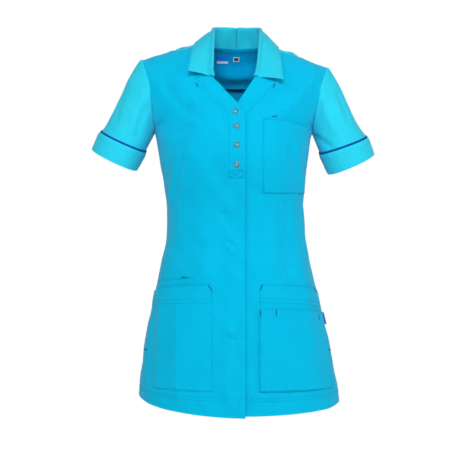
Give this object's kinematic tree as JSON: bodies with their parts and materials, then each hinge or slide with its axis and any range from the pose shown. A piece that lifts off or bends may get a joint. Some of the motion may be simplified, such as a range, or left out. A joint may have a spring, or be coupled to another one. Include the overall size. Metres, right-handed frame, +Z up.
{
  "type": "short-sleeved work tunic",
  "caption": "Short-sleeved women's work tunic, filled out and empty, with a collar, snap placket, patch pockets and turned-up cuffs edged with piping.",
  "frame": {"origin": "where the wearer's shoulders carry it: the level of the neck's shoulder points, on the middle line, between front and back", "axes": "+Z up the body, front towards -Y, the wearer's right side towards -X"},
  "size_m": [0.5915, 0.2792, 0.8107],
  "materials": {
    "body_cloth": "bright blue polyester-cotton twill",
    "contrast_cloth": "light turquoise polyester-cotton twill",
    "piping_cord": "navy corded piping",
    "snap_metal": "nickel-plated press studs",
    "label_cloth": "plain woven labels"
  },
  "bodies": {
    "root": {"front_right": "body_cloth", "front_left": "body_cloth", "back_side_right": "body_cloth", "back_side_left": "body_cloth", "yoke_facing": "body_cloth", "chest_pocket": "body_cloth", "hip_pocket_right_inner": "body_cloth", "hip_pocket_right": "body_cloth", "hip_pocket_left": "body_cloth", "hip_pocket_left_front": "body_cloth", "back_center": "contrast_cloth", "collar_right": "contrast_cloth", "collar_left": "contrast_cloth", "sleeve_right": "contrast_cloth", "sleeve_left": "contrast_cloth", "cuff_right": "contrast_cloth", "cuff_left": "contrast_cloth", "piping_right": "piping_cord", "piping_left": "piping_cord", "snap_cap_1": "snap_metal", "snap_cap_2": "snap_metal", "snap_cap_3": "snap_metal", "snap_cap_4": "snap_metal", "neck_label": "label_cloth", "size_label": "label_cloth", "side_tab": "label_cloth"}
  },
  "joints": []
}
